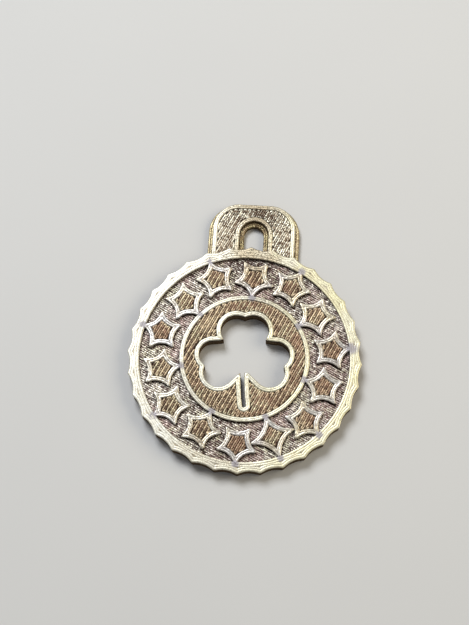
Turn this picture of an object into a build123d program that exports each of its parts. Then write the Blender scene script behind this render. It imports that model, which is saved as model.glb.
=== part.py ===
from build123d import *
import os
from math import cos, radians, sin, sqrt

# A souvenir hanging ornament: a flat printed medallion lying on its back, relief side up, with a
# hanger tab at its top. A scalloped base disc carries a raised rim with the same scalloped edge, a
# raised centre medallion and fourteen raised stars, and a shamrock is cut right through the middle.
# The hanger tab has two levels, a wide base and an inset face, with an arched slot through both.
# Each raised field is a core inside a border two printed lines wide, and the border stands a little
# above the core.
# Millimetres and degrees; +Z is up out of the relief, and +Y points from the disc to the hanger.
# Bearings run clockwise from +Y, seen from above.

# Base disc with its scalloped edge
cusp_radius = 25.0
scallop_count = 32
valley_radius = 24.35
base_top = 2.4

# Relief levels: the borders and the rim reach the top, and the cores between them stop just below
core_top = 3.1
relief_top = 3.2
border_width = 0.9

# Edge rim and centre medallion
rim_inner_radius = 22.6
medallion_radius = 13.9

# Star ring: thirteen five-point stars at an even pitch, pointing by turns at the rim and at the
# medallion, and a four-point star in the middle of the wider gap that they leave
five_point_count = 13
star_pitch = 26.0
gap_bearing = 157.3
star_tip_radius = 4.5
star_notch_radius = 2.8
outward_star_centre = 18.75
inward_star_centre = 17.9
four_point_centre = 18.0
four_point_tip_radius = 4.95
four_point_notch_radius = 2.6

# Shamrock cut-out: its turn from +Y, and its right half's corners and bulges about the disc's centre
shamrock_turn = 2.6
leaf_top_notch = (0.0, 9.0)
leaf_top_bulge = (4.22, 8.52)
leaf_fork = (4.45, 4.0)
side_leaf_start = (6.65, 3.74)
side_leaf_bulge = (9.55, 1.9)
side_leaf_notch = (8.4, -1.7)
lower_lobe_bulge = (7.68, -5.58)
lower_lobe_end = (3.2, -5.6)
stem_shoulder = (0.85, -3.25)
stem_top = (-0.35, -2.8)
stem_middle = (-0.27, -7.0)
stem_foot = (0.05, -10.4)
stem_width = 0.85

# Hanger tab
hanger_centre_x = 0.35
hanger_top = 35.4
hanger_base_top = 1.4
hanger_core_top = 2.1
hanger_border_top = 2.2
hanger_base_half_width = 9.9
hanger_base_corner = 6.6
hanger_face_half_width = 9.0
hanger_face_corner = 5.6
hanger_face_setback = 0.1
slot_base_half_width = 2.2
slot_base_top = 30.5
slot_face_half_width = 3.2
slot_face_top = 31.6
hanger_root = 20.0

# The origin lies under the middle of the whole outline, on the face that the ornament rests on
disc_centre_y = -(hanger_top - cusp_radius) / 2


def polar(radius, bearing):
    """The point at that radius and bearing from the disc's centre."""
    return (radius * sin(radians(bearing)), radius * cos(radians(bearing)))


def slab(outline, low, high):
    """A plate of that outline from one height to another."""
    return Pos(0, 0, low) * extrude(outline, amount=high - low)


def scalloped_outline():
    """The base disc's outline: hollow arcs that meet in sharp cusps, one cusp under the hanger."""
    pitch = 360 / scallop_count
    edges = []
    for index in range(scallop_count):
        start = polar(cusp_radius, index * pitch)
        middle = polar(valley_radius, (index + 0.5) * pitch)
        end = polar(cusp_radius, (index + 1) * pitch)
        edges.append(ThreePointArc(start, middle, end))
    return make_face(edges)


def arc_star(points, tip_radius, notch_radius, inset=0.0):
    """A star about the origin, one tip on +Y, whose sides are hollow arcs, moved in by inset."""
    half_step = radians(180 / points)
    across = tip_radius**2 - 2 * tip_radius * notch_radius * cos(half_step) + notch_radius**2
    arc_radius = across / (2 * (tip_radius * cos(half_step) - notch_radius))
    arc_centre = notch_radius + arc_radius
    side_radius = arc_radius + inset
    reach = sqrt(side_radius**2 - (arc_centre * sin(half_step)) ** 2)
    tip = arc_centre * cos(half_step) - reach
    notch = notch_radius - inset
    edges = []
    for index in range(points):
        bearing = index * 360 / points
        start = polar(tip, bearing)
        middle = polar(notch, bearing + 180 / points)
        end = polar(tip, bearing + 360 / points)
        edges.append(ThreePointArc(start, middle, end))
    return make_face(edges)


def star_at(number, inset=0.0):
    """Star of that number in its place on the ring; number 0 is the four-point star."""
    if number == 0:
        star = arc_star(4, four_point_tip_radius, four_point_notch_radius, inset)
        return Pos(*polar(four_point_centre, gap_bearing)) * Rot(0, 0, -gap_bearing) * star
    star = arc_star(5, star_tip_radius, star_notch_radius, inset)
    bearing = gap_bearing + 180 + (number - (five_point_count + 1) / 2) * star_pitch
    if number % 2:
        return Pos(*polar(outward_star_centre, bearing)) * Rot(0, 0, -bearing) * star
    return Pos(*polar(inward_star_centre, bearing)) * Rot(0, 0, 180 - bearing) * star


def shamrock_leaves():
    """The three leaves, joined in the middle, as one opening."""

    def mirrored(point):
        return (-point[0], point[1])

    def half(side):
        return [
            ThreePointArc(side(leaf_top_notch), side(leaf_top_bulge), side(leaf_fork)),
            Line(side(leaf_fork), side(side_leaf_start)),
            ThreePointArc(side(side_leaf_start), side(side_leaf_bulge), side(side_leaf_notch)),
            ThreePointArc(side(side_leaf_notch), side(lower_lobe_bulge), side(lower_lobe_end)),
            Line(side(lower_lobe_end), side(stem_shoulder)),
        ]

    across = Line(stem_shoulder, mirrored(stem_shoulder))
    return make_face([*half(lambda point: point), across, *half(mirrored)])


def shamrock_stem(width):
    """The stem's curved slot, with round ends, at that width."""
    return SlotArc(ThreePointArc(stem_top, stem_middle, stem_foot), width)


def arch(half_width, top, corner):
    """An outline on the hanger's centre line, with straight sides and rounded top corners."""
    inner = half_width - corner
    diagonal = corner * sin(radians(45))
    bottom = hanger_root
    return Pos(hanger_centre_x, 0) * make_face(
        [
            Line((-half_width, bottom), (-half_width, top - corner)),
            ThreePointArc(
                (-half_width, top - corner),
                (-inner - diagonal, top - corner + diagonal),
                (-inner, top),
            ),
            *([Line((-inner, top), (inner, top))] if inner > 0 else []),
            ThreePointArc(
                (inner, top),
                (inner + diagonal, top - corner + diagonal),
                (half_width, top - corner),
            ),
            Line((half_width, top - corner), (half_width, bottom)),
            Line((half_width, bottom), (-half_width, bottom)),
        ]
    )


parts = {}

# Outlines shared by several pieces
disc_outline = scalloped_outline()
leaves = shamrock_leaves()
leaf_band = offset(leaves, border_width, kind=Kind.ARC)
stem_band = shamrock_stem(stem_width + 2 * border_width)
shamrock = Rot(0, 0, shamrock_turn) * (leaves + shamrock_stem(stem_width))
shamrock_band = Rot(0, 0, shamrock_turn) * (leaf_band + stem_band)
star_field = Circle(rim_inner_radius) - Circle(medallion_radius)
medallion_field = Circle(medallion_radius - border_width)

# Disc, rim and medallion
parts["base_disc"] = slab(disc_outline - shamrock, 0, base_top)
parts["edge_rim"] = slab(disc_outline - Circle(rim_inner_radius), base_top, relief_top)
parts["medallion_border"] = slab(Circle(medallion_radius) - medallion_field, base_top, relief_top)
parts["medallion_core"] = slab(medallion_field - shamrock_band, base_top, core_top)
parts["shamrock_border"] = slab(shamrock_band - shamrock, base_top, relief_top)

# Stars, each a border round a core
for number in range(five_point_count + 1):
    name = f"star_{number:02d}" if number else "four_point_star"
    core = star_at(number, border_width)
    border = (star_at(number) - core) & star_field
    parts[f"{name}_core"] = slab(core, base_top, core_top)
    parts[f"{name}_border"] = slab(border, base_top, relief_top)

# Hanger tab: base, core, and the borders along its edge and round its slot
hanger_base_outline = arch(hanger_base_half_width, hanger_top, hanger_base_corner)
slot_in_base = arch(slot_base_half_width, slot_base_top, slot_base_half_width)
face_top = hanger_top - hanger_face_setback
hanger_face_outline = arch(hanger_face_half_width, face_top, hanger_face_corner)
hanger_face_inset = arch(
    hanger_face_half_width - border_width,
    face_top - border_width,
    hanger_face_corner - border_width,
)
slot_in_face = arch(slot_face_half_width, slot_face_top, slot_face_half_width)
slot_band_half_width = slot_face_half_width + border_width
slot_band = arch(slot_band_half_width, slot_face_top + border_width, slot_band_half_width)
parts["hanger_base"] = slab(hanger_base_outline - slot_in_base - disc_outline, 0, hanger_base_top)
parts["hanger_border"] = slab(
    hanger_face_outline - hanger_face_inset - disc_outline, hanger_base_top, hanger_border_top
)
parts["hanger_core"] = slab(
    hanger_face_inset - slot_band - disc_outline, hanger_base_top, hanger_core_top
)
parts["slot_border"] = slab(
    slot_band - slot_in_face - disc_outline, hanger_base_top, hanger_border_top
)

os.makedirs("parts", exist_ok=True)
for name, shape in parts.items():
    export_step(Pos(0, disc_centre_y, 0) * shape, f"parts/{name}.step")
print(f"{len(parts)} nodes; disc centre at y = {disc_centre_y:.2f} mm")
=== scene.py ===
"""Looks of a printed hanging ornament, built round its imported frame.

The ornament is one 3-D print: a scalloped disc with a raised rim, a ring of stars, a medallion with
a shamrock cut through it, and a hanger tab. Every visible surface of such a print is made of laid
lines, so each piece here is a slab with layered walls that carries rows of rounded printed lines.
Plane shapes are in millimetres about the disc's centre, as complex numbers x + y*1j; meshes are in
metres in the frame's own axes. Bearings run clockwise from +Y, seen from above.
"""

import sys

import cmath
import logging
import math
from collections.abc import Sequence
from dataclasses import dataclass
from enum import Enum

import bmesh
import bpy
import numpy as np
from mathutils import Matrix, Vector
from mathutils.geometry import delaunay_2d_cdt


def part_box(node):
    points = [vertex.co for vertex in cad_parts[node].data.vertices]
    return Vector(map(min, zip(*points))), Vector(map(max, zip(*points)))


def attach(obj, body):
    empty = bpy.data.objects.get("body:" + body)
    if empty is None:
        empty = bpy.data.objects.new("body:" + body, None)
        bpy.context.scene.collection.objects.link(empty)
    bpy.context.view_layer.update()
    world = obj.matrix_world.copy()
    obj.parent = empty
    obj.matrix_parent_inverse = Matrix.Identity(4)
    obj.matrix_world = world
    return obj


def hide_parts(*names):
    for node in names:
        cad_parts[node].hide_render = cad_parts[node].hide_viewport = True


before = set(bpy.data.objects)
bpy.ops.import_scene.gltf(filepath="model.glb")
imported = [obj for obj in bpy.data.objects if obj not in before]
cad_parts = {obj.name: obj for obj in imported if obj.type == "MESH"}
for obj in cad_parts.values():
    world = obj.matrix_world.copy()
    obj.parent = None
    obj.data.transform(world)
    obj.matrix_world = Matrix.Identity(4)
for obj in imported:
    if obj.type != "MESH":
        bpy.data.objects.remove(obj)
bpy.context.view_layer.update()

MM = 0.001
BODY = "root"

# Height of one printed layer, in mm
LAYER = 0.2

# Printed lines: how finely they sway and swell, per metre, how far the sway goes along each axis,
# what sets the swell's seed apart, and how much an open end narrows; and points round one ridge
SWAY_SCALE = 900.0
SWAY_SHARES = (2.0, 2.0, 0.8)
SWELL_SCALE = 1500.0
SEED_SHIFT = 7.3
END_TAPER = 0.4
RIDGE_POINTS = 3

# Plates and lines, in mm: how far a plate reaches into what it stands on, how far the body stays
# above the back, how far each line's middle lies in from the edge it follows, and the margins that
# hatching keeps; and how far the cores' seeds are from their borders'
PLATE_LAP = 0.1
BODY_LIFT = 0.05
BORDER_INSETS = (0.28, 0.64)
BACK_INSETS = (0.24, 0.69)
BACK_MARGIN = 1.1
CORE_MARGIN = 0.2
FLOOR_MARGIN = 0.1
CORE_SEEDS = 20

# Loops, in mm and radians: their usual step, the turn that counts as a corner, the step round an
# opened corner, how near a folded stretch may come, and the shortest step that is kept
LOOP_STEP = 0.15
CORNER_TURN = 0.12
FAN_STEP = 0.3
FOLD_SLACK = 0.006
SHORTEST_STEP = 0.004

# Cutting the floor into triangles: the whole square is filled, points this near in mm are one, and
# the opening stays this far inside the ornament's edges
WHOLE_HULL = 0
MERGE_REACH = 1e-4
FLOOR_LAP = 0.15

log = logging.getLogger("ornament")

Colour = tuple[float, float, float]
Loop = np.ndarray
Chain = list[tuple[complex, float]]


# Plane shapes


def polar(radius: float, bearing: float) -> complex:
    """The point at that radius and bearing from the disc's centre."""
    return radius * cmath.exp(1j * math.radians(90 - bearing))


def circle(radius: float) -> Loop:
    """A full circle about the disc's centre, anticlockwise."""
    count = max(24, math.ceil(math.tau * radius / LOOP_STEP))
    return radius * np.exp(1j * np.linspace(0, math.tau, count, endpoint=False))


def side_points(side: Sequence[complex], step: float) -> list[complex]:
    """Points along one side of an outline, without its end.

    Args:
        side: The start and end of a straight side, or the start, middle and end of an arc.
        step: Longest distance between two points, in mm.

    Returns:
        The points, from the start on.
    """
    if len(side) == 2:
        start, end = side
        count = max(1, math.ceil(abs(end - start) / step))
        return [start + (end - start) * k / count for k in range(count)]
    start, middle, end = side
    ratio = (end - start) / (middle - start)
    centre = start + (middle - start) * (ratio - abs(ratio) ** 2) / (2j * ratio.imag)
    turn = cmath.phase((middle - centre) / (start - centre))
    turn += cmath.phase((end - centre) / (middle - centre))
    count = max(2, math.ceil(abs(turn) * abs(start - centre) / step))
    return [centre + (start - centre) * cmath.exp(1j * turn * k / count) for k in range(count)]


@dataclass(frozen=True)
class Outline:
    """A closed outline of straight and arc sides."""

    sides: tuple[tuple[complex, ...], ...]

    def placed(self, turn: float, place: complex = 0) -> "Outline":
        """The outline turned clockwise by that many degrees about the origin and then moved."""
        swing = cmath.exp(-1j * math.radians(turn))
        return Outline(tuple(tuple(place + p * swing for p in side) for side in self.sides))

    def loop(self, step: float = LOOP_STEP) -> Loop:
        """The outline's points, anticlockwise, at most that step apart.

        Args:
            step: Longest distance between two points, in mm.

        Returns:
            The closed loop.
        """
        points = np.array([p for side in self.sides for p in side_points(side, step)])
        area = (points.conj() * np.roll(points, -1)).imag.sum()
        return points if area > 0 else points[::-1]


def arc_star(points: int, tip_radius: float, notch_radius: float) -> Outline:
    """A star about the origin, one tip on +Y, whose sides are hollow arcs.

    Args:
        points: How many tips it has.
        tip_radius: Radius of the tips.
        notch_radius: Radius of the deepest point between two tips.

    Returns:
        The star's outline. A scalloped disc is such a star with many shallow tips.
    """
    pitch = 360 / points
    return Outline(
        tuple(
            (
                polar(tip_radius, k * pitch),
                polar(notch_radius, (k + 0.5) * pitch),
                polar(tip_radius, (k + 1) * pitch),
            )
            for k in range(points)
        )
    )


def clearance(points: np.ndarray, loop: Loop) -> np.ndarray:
    """Distance from each point to the nearest part of a closed loop.

    Args:
        points: The points.
        loop: The loop.

    Returns:
        One distance for each point.
    """
    run = np.roll(loop, -1) - loop
    along = ((points[:, None] - loop) * run.conj()).real / abs(run) ** 2
    return abs(points[:, None] - loop - np.clip(along, 0, 1) * run).min(axis=1)


def grown(loop: Loop, distance: float) -> Loop:
    """Moves a closed loop outwards: corners that open are rounded, and corners that close stay sharp.

    Args:
        loop: An anticlockwise loop.
        distance: How far out it goes, in mm; inwards if negative.

    Returns:
        The moved loop, anticlockwise, without the stretches that the move folds over.
    """
    normals = -1j * (np.roll(loop, -1) - loop)
    normals /= abs(normals)
    turns = np.angle(normals / np.roll(normals, 1))
    moved = []
    for point, normal, turn in zip(loop, normals, turns):
        if abs(turn) < CORNER_TURN:
            moved.append(point + distance * normal * cmath.exp(-0.5j * turn))
            continue
        fan = math.ceil(abs(turn) / FAN_STEP) if turn * distance > 0 else 1
        moved += [
            point + distance * normal * cmath.exp(-1j * turn * (1 - k / fan))
            for k in range(fan + 1)
        ]
    found = np.array(moved)
    found = found[clearance(found, loop) > abs(distance) - FOLD_SLACK]
    return found[abs(np.roll(found, -1) - found) > SHORTEST_STEP]


def joined_loop(first: Loop, second: Loop) -> Loop:
    """The outer loop round two anticlockwise loops that cross each other at two points.

    Args:
        first: One loop.
        second: The other loop.

    Returns:
        The loop round both.
    """
    first_run = one_run(first, ~inside(first, second))
    second_run = one_run(second, ~inside(second, first))
    return np.concatenate([first_run, second_run])


def one_run(loop: Loop, kept: np.ndarray) -> Loop:
    """The kept points of a loop as one unbroken run.

    Args:
        loop: The loop.
        kept: Whether each of its points is kept.

    Returns:
        The kept points, in order.
    """
    starts = np.flatnonzero(kept & ~np.roll(kept, 1))
    rolled = np.roll(loop, -starts[0])
    return rolled[np.roll(kept, -starts[0])]


def inside(points: np.ndarray, loop: Loop) -> np.ndarray:
    """Whether each point lies inside a closed loop.

    Args:
        points: The points.
        loop: The loop.

    Returns:
        One answer for each point.
    """
    ahead = np.roll(loop, -1)
    level = points.imag[:, None]
    crosses = (loop.imag > level) != (ahead.imag > level)
    rise = np.where(crosses, ahead.imag - loop.imag, 1)
    at = loop.real + (level - loop.imag) / rise * (ahead.real - loop.real)
    return (crosses & (at > points.real[:, None])).sum(axis=1) % 2 == 1


def pressed(loop: Loop, inner: float, outer: float) -> Loop:
    """A loop with every point's radius kept between two radii."""
    radius = abs(loop)
    return loop / radius * np.clip(radius, inner, outer)


def chained(
    lines: Sequence[tuple[np.ndarray, bool]],
) -> tuple[np.ndarray, list[tuple[int, int]]]:
    """Strings lines together for a mesh.

    Args:
        lines: Each line's points, and whether it closes.

    Returns:
        All the points, and the edges along the lines.
    """
    edges: list[tuple[int, int]] = []
    first = 0
    for points, closed in lines:
        last = first + len(points) - 1
        edges += [(k, k + 1) for k in range(first, last)]
        if closed:
            edges.append((last, first))
        first = last + 1
    return np.concatenate([points for points, _ in lines]), edges


# Printed strokes


@dataclass
class Stroke:
    """One laid line.

    It has its points in order, how light it is laid at each, whether it closes, and how much of it
    is the greyish smear of a seam.
    """

    points: np.ndarray
    tones: np.ndarray
    closed: bool = False
    seam: float = 0.0


@dataclass(frozen=True)
class PaintedShading:
    """A round patch, in mm, of painted light (lift above 0) or painted shade (below 0)."""

    place: complex
    radius: float
    lift: float


def closed_stroke(loop: Loop, tone: float = 0.5) -> Stroke:
    """A closed stroke of one even tone."""
    return Stroke(loop, np.full(len(loop), tone), closed=True)


def open_strokes(loop: Loop, kept: np.ndarray, tone: float = 0.5) -> list[Stroke]:
    """The kept stretches of a closed loop as separate strokes.

    Args:
        loop: The closed loop.
        kept: Whether each of its points is kept.
        tone: How light the strokes are.

    Returns:
        One closed stroke if every point is kept, and otherwise the open ones.
    """
    if kept.all():
        return [closed_stroke(loop, tone)]
    starts = np.flatnonzero(kept & ~np.roll(kept, 1))
    strokes = []
    for start in starts:
        run = np.roll(loop, -start)
        length = int(np.argmin(np.roll(kept, -start)))
        if length > 1:
            strokes.append(Stroke(run[:length], np.full(length, tone)))
    return strokes


@dataclass(frozen=True)
class Hatch:
    """Parallel lines that fill a field, turning back at its edge."""

    angle: float
    pitch: float = 0.44
    shortest: float = 0.25
    light: float = 0.8
    dark: float = 0.2
    turn_tone: float = 1.0
    turn_reach: float = 0.42
    row_shift: float = 0.37
    point_step: float = 0.8
    turn_span: float = 2.2

    def strokes(self, fields: Sequence[Loop], holes: Sequence[Loop] = ()) -> list[Stroke]:
        """Fills a field with lines.

        Args:
            fields: Loops whose insides are filled.
            holes: Loops whose insides are left out.

        Returns:
            Zigzag strokes; every second line is laid lighter, and so is each turn.
        """
        swing = cmath.exp(1j * math.radians(self.angle))
        turned_fields = [loop / swing for loop in fields]
        turned_holes = [loop / swing for loop in holes]
        low = min(loop.imag.min() for loop in turned_fields)
        high = max(loop.imag.max() for loop in turned_fields)
        chains: list[Chain] = []
        waiting: list[Chain] = []
        for row in range(math.floor(low / self.pitch), math.ceil(high / self.pitch) + 1):
            level = (row + self.row_shift) * self.pitch
            spans = [s for loop in turned_fields for s in self._spans(loop, level)]
            for loop in turned_holes:
                spans = self._without(spans, self._spans(loop, level))
            tone = self.light if row % 2 else self.dark
            ended = []
            for left, right in spans:
                if right - left < self.shortest:
                    continue
                reach = min(self.turn_reach, (right - left) / 3)
                count = max(2, math.ceil((right - left) / self.point_step))
                places = [left, *np.linspace(left + reach, right - reach, count), right]
                places = places if row % 2 else places[::-1]
                start = places[0]
                near = [(abs(c[-1][0].real - start), k) for k, c in enumerate(waiting)]
                gap, nearest = min(near, default=(math.inf, 0))
                if gap < self.turn_span * self.pitch:
                    chain = waiting.pop(nearest)
                else:
                    chain = []
                    chains.append(chain)
                tones = [self.turn_tone, *[tone] * count, self.turn_tone]
                chain += [(complex(x, level), t) for x, t in zip(places, tones)]
                ended.append(chain)
            waiting = ended
        return [
            Stroke(np.array([p for p, _ in chain]) * swing, np.array([t for _, t in chain]))
            for chain in chains
        ]

    @staticmethod
    def _spans(loop: Loop, level: float) -> list[tuple[float, float]]:
        """The stretches of a level line that lie inside a loop.

        Args:
            loop: The loop.
            level: The line's height.

        Returns:
            Start and end of each stretch.
        """
        ahead = np.roll(loop, -1)
        crosses = (loop.imag > level) != (ahead.imag > level)
        start, end = loop[crosses], ahead[crosses]
        share = (level - start.imag) / (end.imag - start.imag)
        at = np.sort(start.real + share * (end.real - start.real))
        return list(zip(at[::2], at[1::2]))

    @staticmethod
    def _without(
        spans: list[tuple[float, float]], cuts: list[tuple[float, float]]
    ) -> list[tuple[float, float]]:
        """Spans with the cuts taken out of them.

        Args:
            spans: Start and end of each span.
            cuts: Start and end of each cut.

        Returns:
            What is left of the spans.
        """
        for low, high in cuts:
            parts = [p for a, b in spans for p in ((a, min(b, low)), (max(a, high), b))]
            spans = [(a, b) for a, b in parts if b > a]
        return spans


# Node graphs


class Signal:
    """A value in a node graph; arithmetic on it adds Math nodes."""

    def __init__(self, graph: "Graph", socket: bpy.types.NodeSocket) -> None:
        """Wraps one output socket of a graph."""
        self.graph = graph
        self.socket = socket

    def _maths(self, operation: str, *values: object) -> "Signal":
        """A Math node of that operation on the given values."""
        sockets = dict(enumerate(values))
        return self.graph.signal("ShaderNodeMath", {"operation": operation}, sockets)

    def __add__(self, other: object) -> "Signal":
        """This plus other."""
        return self._maths("ADD", self, other)

    __radd__ = __add__

    def __mul__(self, other: object) -> "Signal":
        """This times other."""
        return self._maths("MULTIPLY", self, other)

    __rmul__ = __mul__

    def __sub__(self, other: object) -> "Signal":
        """This less other."""
        return self._maths("SUBTRACT", self, other)

    def __rsub__(self, other: object) -> "Signal":
        """Other less this."""
        return self._maths("SUBTRACT", other, self)

    def __truediv__(self, other: object) -> "Signal":
        """This divided by other."""
        return self._maths("DIVIDE", self, other)

    def apply(self, operation: str, *values: object) -> "Signal":
        """Another Math operation with this as its first value."""
        return self._maths(operation, self, *values)

    def between(self, low: float, high: float) -> "Signal":
        """This stretched so that low gives 0 and high gives 1, and kept within them.

        Args:
            low: What gives 0.
            high: What gives 1.

        Returns:
            The smoothly stretched value.
        """
        settings = {"interpolation_type": "SMOOTHSTEP"}
        sockets = {"Value": self, "From Min": low, "From Max": high}
        return self.graph.signal("ShaderNodeMapRange", settings, sockets)


class Graph:
    """Adds nodes to a shader or geometry tree."""

    def __init__(self, tree: bpy.types.NodeTree) -> None:
        """Clears a tree and starts on it."""
        self.tree = tree
        tree.nodes.clear()

    def node(
        self, kind: str, settings: dict | None = None, sockets: dict | None = None
    ) -> bpy.types.Node:
        """Adds one node.

        Args:
            kind: The node's type.
            settings: Its properties, set first.
            sockets: Values or links for its inputs, by name or number.

        Returns:
            The new node.
        """
        made = self.tree.nodes.new(kind)
        for name, value in (settings or {}).items():
            setattr(made, name, value)
        for name, value in (sockets or {}).items():
            target = made.inputs[name]
            if isinstance(value, Signal):
                self.tree.links.new(value.socket, target)
            elif isinstance(value, tuple) and len(value) == 3 and target.type == "RGBA":
                target.default_value = (*value, 1.0)
            else:
                target.default_value = value
        return made

    def signal(
        self,
        kind: str,
        settings: dict | None = None,
        sockets: dict | None = None,
        output: int | str = 0,
    ) -> Signal:
        """Adds one node and returns one of its outputs."""
        return Signal(self, self.node(kind, settings, sockets).outputs[output])


    def vector(self, operation: str, sockets: dict) -> Signal:
        """A Vector Math node of that operation."""
        return self.signal("ShaderNodeVectorMath", {"operation": operation}, sockets)

    def combined(self, **axes: Signal) -> Signal:
        """A vector of the given X, Y and Z."""
        return self.signal("ShaderNodeCombineXYZ", None, axes)

    def axis(self, vector: Signal, name: str) -> Signal:
        """One component of a vector."""
        return self.signal("ShaderNodeSeparateXYZ", None, {0: vector}, name)


class ShaderGraph(Graph):
    """A material's graph, with the few patterns that printed plastic needs."""

    def __init__(self, name: str) -> None:
        """Makes a material of that name."""
        self.material = bpy.data.materials.new(name)
        self.material.use_nodes = True
        super().__init__(self.material.node_tree)
        self.place = self.signal("ShaderNodeTexCoord", output="Object")

    def attribute(self, name: str) -> Signal:
        """A number that the mesh carries at each point."""
        return self.signal("ShaderNodeAttribute", {"attribute_name": name}, output="Fac")

    def noise(
        self,
        size: float,
        detail: float = 2.0,
        stretch: Colour = (1, 1, 1),
        angle: float = 0.0,
    ) -> Signal:
        """Soft noise from 0 to 1.

        Args:
            size: Size of one blotch, in mm.
            detail: How many finer octaves it has.
            stretch: How much longer a blotch is along each axis.
            angle: How far those axes are turned about Z, anticlockwise in degrees.

        Returns:
            The noise value.
        """
        squeeze = tuple(1 / (s * size * MM) for s in stretch)
        place = self.place
        if angle:
            turned = {"Vector": place, "Angle": -math.radians(angle)}
            settings = {"rotation_type": "Z_AXIS"}
            place = self.signal("ShaderNodeVectorRotate", settings, turned)
        place = self.vector("MULTIPLY", {0: place, 1: squeeze})
        sockets = {"Vector": place, "Scale": 1.0, "Detail": detail, "Roughness": 0.6}
        return self.signal("ShaderNodeTexNoise", None, sockets)

    def mix(self, share: Signal | float, low: Signal | Colour, high: Signal | Colour) -> Signal:
        """Low where share is 0 and high where it is 1.

        Args:
            share: How much of high there is.
            low: One colour.
            high: The other colour.

        Returns:
            The mixed colour.
        """
        settings = {"data_type": "RGBA"}
        sockets = {0: share, 6: low, 7: high}
        return self.signal("ShaderNodeMix", settings, sockets, output=2)

    def bump(self, height: Signal, depth: float, strength: float) -> Signal:
        """A normal from a height of that many mm."""
        sockets = {"Height": height, "Distance": depth * MM, "Strength": strength}
        return self.signal("ShaderNodeBump", None, sockets)

    def principled(self, sockets: dict) -> bpy.types.Material:
        """Ends the graph in one Principled shader and returns the material.

        Args:
            sockets: The shader's inputs by name.

        Returns:
            The finished material.
        """
        shader = self.signal("ShaderNodeBsdfPrincipled", None, sockets)
        self.node("ShaderNodeOutputMaterial", None, {"Surface": shader})
        return self.material


# Finishes


@dataclass(frozen=True)
class Finish:
    """A look of the print, made into a material once and then shared."""

    name: str

    def material(self) -> bpy.types.Material:
        """The finish's material."""
        return bpy.data.materials.get(self.name) or self._paint(ShaderGraph(self.name))


@dataclass(frozen=True)
class SilkLine(Finish):
    """Silk gold plastic on the top of a laid line.

    The dash fields describe marks that lie along the lines, painted glints of light: their angle,
    and their length and width in mm. One field gives the light colour on the disc's +X side:
    painted warm light, as from a warm lamp on that side.
    """

    light: Colour
    dark: Colour
    patch: Colour
    painted_warm_east: Colour | None = None
    patch_share: float = 0.35
    second_patch: Colour = (0.62, 0.60, 0.42)
    second_share: float = 0.0
    roughness: float = 0.34
    metallic: float = 0.55
    grain: float = 0.5
    glint_dashes: float = 0.0
    dash_angle: float = 0.0
    dash_length: float = 1.1
    dash_width: float = 0.3
    shaded_pinholes: float = 0.3
    relief: float = 0.03
    seam_colour: Colour = (0.30, 0.275, 0.31)

    def _paint(self, graph: ShaderGraph) -> bpy.types.Material:
        """Builds the finish.

        Args:
            graph: The material's empty graph.

        Returns:
            A material that reads each line's tone and seam attributes and adds drifting colour,
            painted warm light on the +X side, dashes of painted glint along the lines, fine streaks,
            pinholes painted with shade and a faint uneven skin.
        """
        drift = graph.noise(7.0, 1.0)
        blotch = graph.noise(1.3, 2.0)
        fine = graph.noise(0.28, 3.0)
        # Dashes along the lines: painted glints, as each short stretch mirrors the lights
        # differently; they also raise the bump
        longer = (self.dash_length / self.dash_width, 1, 1)
        glint_dash = graph.noise(self.dash_width, 1.0, longer, self.dash_angle or 0.01)
        level = graph.attribute("tone") + (fine - 0.5) * (2.2 * self.grain)
        level = level + (blotch - 0.5) * self.grain + (glint_dash - 0.5) * (3.0 * self.glint_dashes)
        # Painted warm light: the light colour warms towards the disc's +X side
        painted_warm_share = graph.axis(graph.place, "X").between(-16 * MM, 18 * MM)
        light = graph.mix(painted_warm_share, self.light, self.painted_warm_east or self.light)
        colour = graph.mix(level.between(0.0, 1.0), self.dark, light)
        tint = drift.between(0.42, 0.66) * self.patch_share
        colour = graph.mix(tint, colour, self.patch)
        tint = graph.noise(4.2, 1.0).between(0.5, 0.68) * self.second_share
        colour = graph.mix(tint * level.between(0.1, 0.9), colour, self.second_patch)
        # Pinholes: small dents with painted shade in them, more where the tone is low
        sparse = 1 - graph.attribute("tone").between(0.3, 0.58)
        pinhole_shade = graph.noise(0.36, 1.0).between(0.56, 0.64) * sparse * self.shaded_pinholes
        shade = tuple(0.35 * c for c in self.dark)
        colour = graph.mix(pinhole_shade, colour, shade)
        seam = graph.attribute("seam") * blotch.between(0.2, 0.5)
        ragged = (seam + (fine - 0.5) * 0.5).between(0.1, 0.6)
        colour = graph.mix(ragged * 0.8, colour, self.seam_colour)
        rough = self.roughness + (fine - 0.5) * 0.24 + seam * 0.2
        skin = fine * 0.6 + graph.noise(0.12, 2.0) * 0.4 + glint_dash * (2 * self.glint_dashes) - pinhole_shade
        return graph.principled(
            {
                "Base Color": colour,
                "Roughness": rough,
                "Metallic": self.metallic,
                "Specular IOR Level": 0.55,
                "Normal": graph.bump(skin, self.relief, 0.7),
            }
        )


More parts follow.
